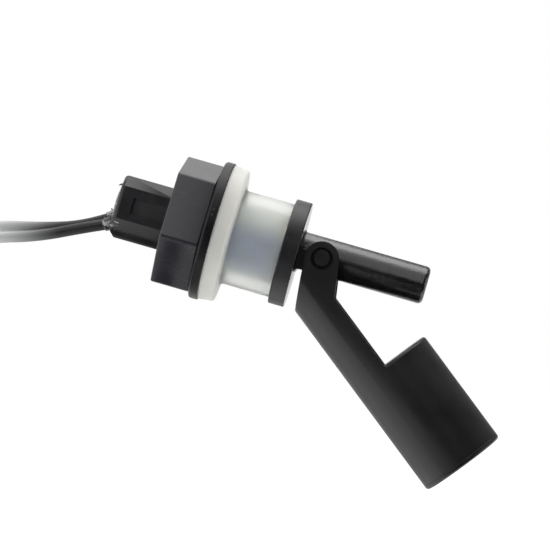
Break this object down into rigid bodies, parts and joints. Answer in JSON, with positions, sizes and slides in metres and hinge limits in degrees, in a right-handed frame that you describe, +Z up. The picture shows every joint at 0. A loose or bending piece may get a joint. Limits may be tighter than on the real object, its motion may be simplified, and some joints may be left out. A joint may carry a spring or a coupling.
{
  "type": "float switch",
  "caption": "Side-entry float switch: stem with an expanding silicone bush, washer and hex nut for a hole in a tank wall, hinged float beside a reed rod, and two bare-ended leads.",
  "frame": {"origin": "on the stem's axis, in the plane where the seal's flange meets the outside of the tank wall", "axes": "+X along the stem into the tank, +Z up; the float hangs towards -Z at rest"},
  "size_m": [0.1388, 0.0288, 0.0907],
  "materials": {
    "stem_plastic": "satin moulded",
    "silicone": "milky translucent silicone",
    "washer_plastic": "satin moulded",
    "nut_plastic": "semi-gloss moulded",
    "float_plastic": "satin moulded",
    "cap_plastic": "satin moulded",
    "magnet": "sintered ferrite",
    "reed_glass": "clear glass",
    "blade_metal": "nickel iron",
    "conductor": "tinned copper strand",
    "solder": "dull solder",
    "sleeve": "shrink sleeve",
    "lead_jacket": "soft vinyl",
    "resin": "cast resin",
    "glue": "clear to whitish hot glue",
    "tie_plastic": "nylon strap"
  },
  "bodies": {
    "sensor_body": {"stem_body": "stem_plastic", "seal_bush": "silicone", "reed_glass": "reed_glass", "reed_blade_rear": "blade_metal", "reed_blade_front": "blade_metal", "upper_core": "conductor", "lower_core": "conductor", "upper_tinned_end": "conductor", "lower_tinned_end": "conductor", "solder_joints": "solder", "joint_sleeves": "sleeve", "upper_lead_root": "lead_jacket", "lower_lead_root": "lead_jacket", "upper_lead": "lead_jacket", "lower_lead": "lead_jacket", "upper_lead_coil": "lead_jacket", "lower_lead_coil": "lead_jacket", "upper_lead_tail": "lead_jacket", "lower_lead_tail": "lead_jacket", "potting_resin": "resin", "exit_glue": "glue", "coil_tie": "tie_plastic"},
    "washer": {"slip_washer": "washer_plastic"},
    "nut": {"hex_nut": "nut_plastic"},
    "float": {"float_shell": "float_plastic", "float_cap": "cap_plastic", "float_magnet": "magnet"}
  },
  "joints": [
    {"name": "nut_travel", "type": "slide", "parent": "sensor_body", "child": "washer", "axis": [1, 0, 0], "range_m": [0, 0.003], "deforming": ["seal_bush"]},
    {"name": "nut_turn", "type": "hinge", "parent": "washer", "child": "nut", "pos_m": [-0.0096, 0, 0], "axis": [1, 0, 0], "range_deg": [0, 540]},
    {"name": "float_pivot", "type": "hinge", "parent": "sensor_body", "child": "float", "pos_m": [0.0189, 0, 0.00064], "axis": [0, -1, 0], "range_deg": [0, 37.5]}
  ],
  "couplings": [
    {"joint": "nut_travel", "follows": "nut_turn", "m_per_rad": 0.00031831}
  ]
}
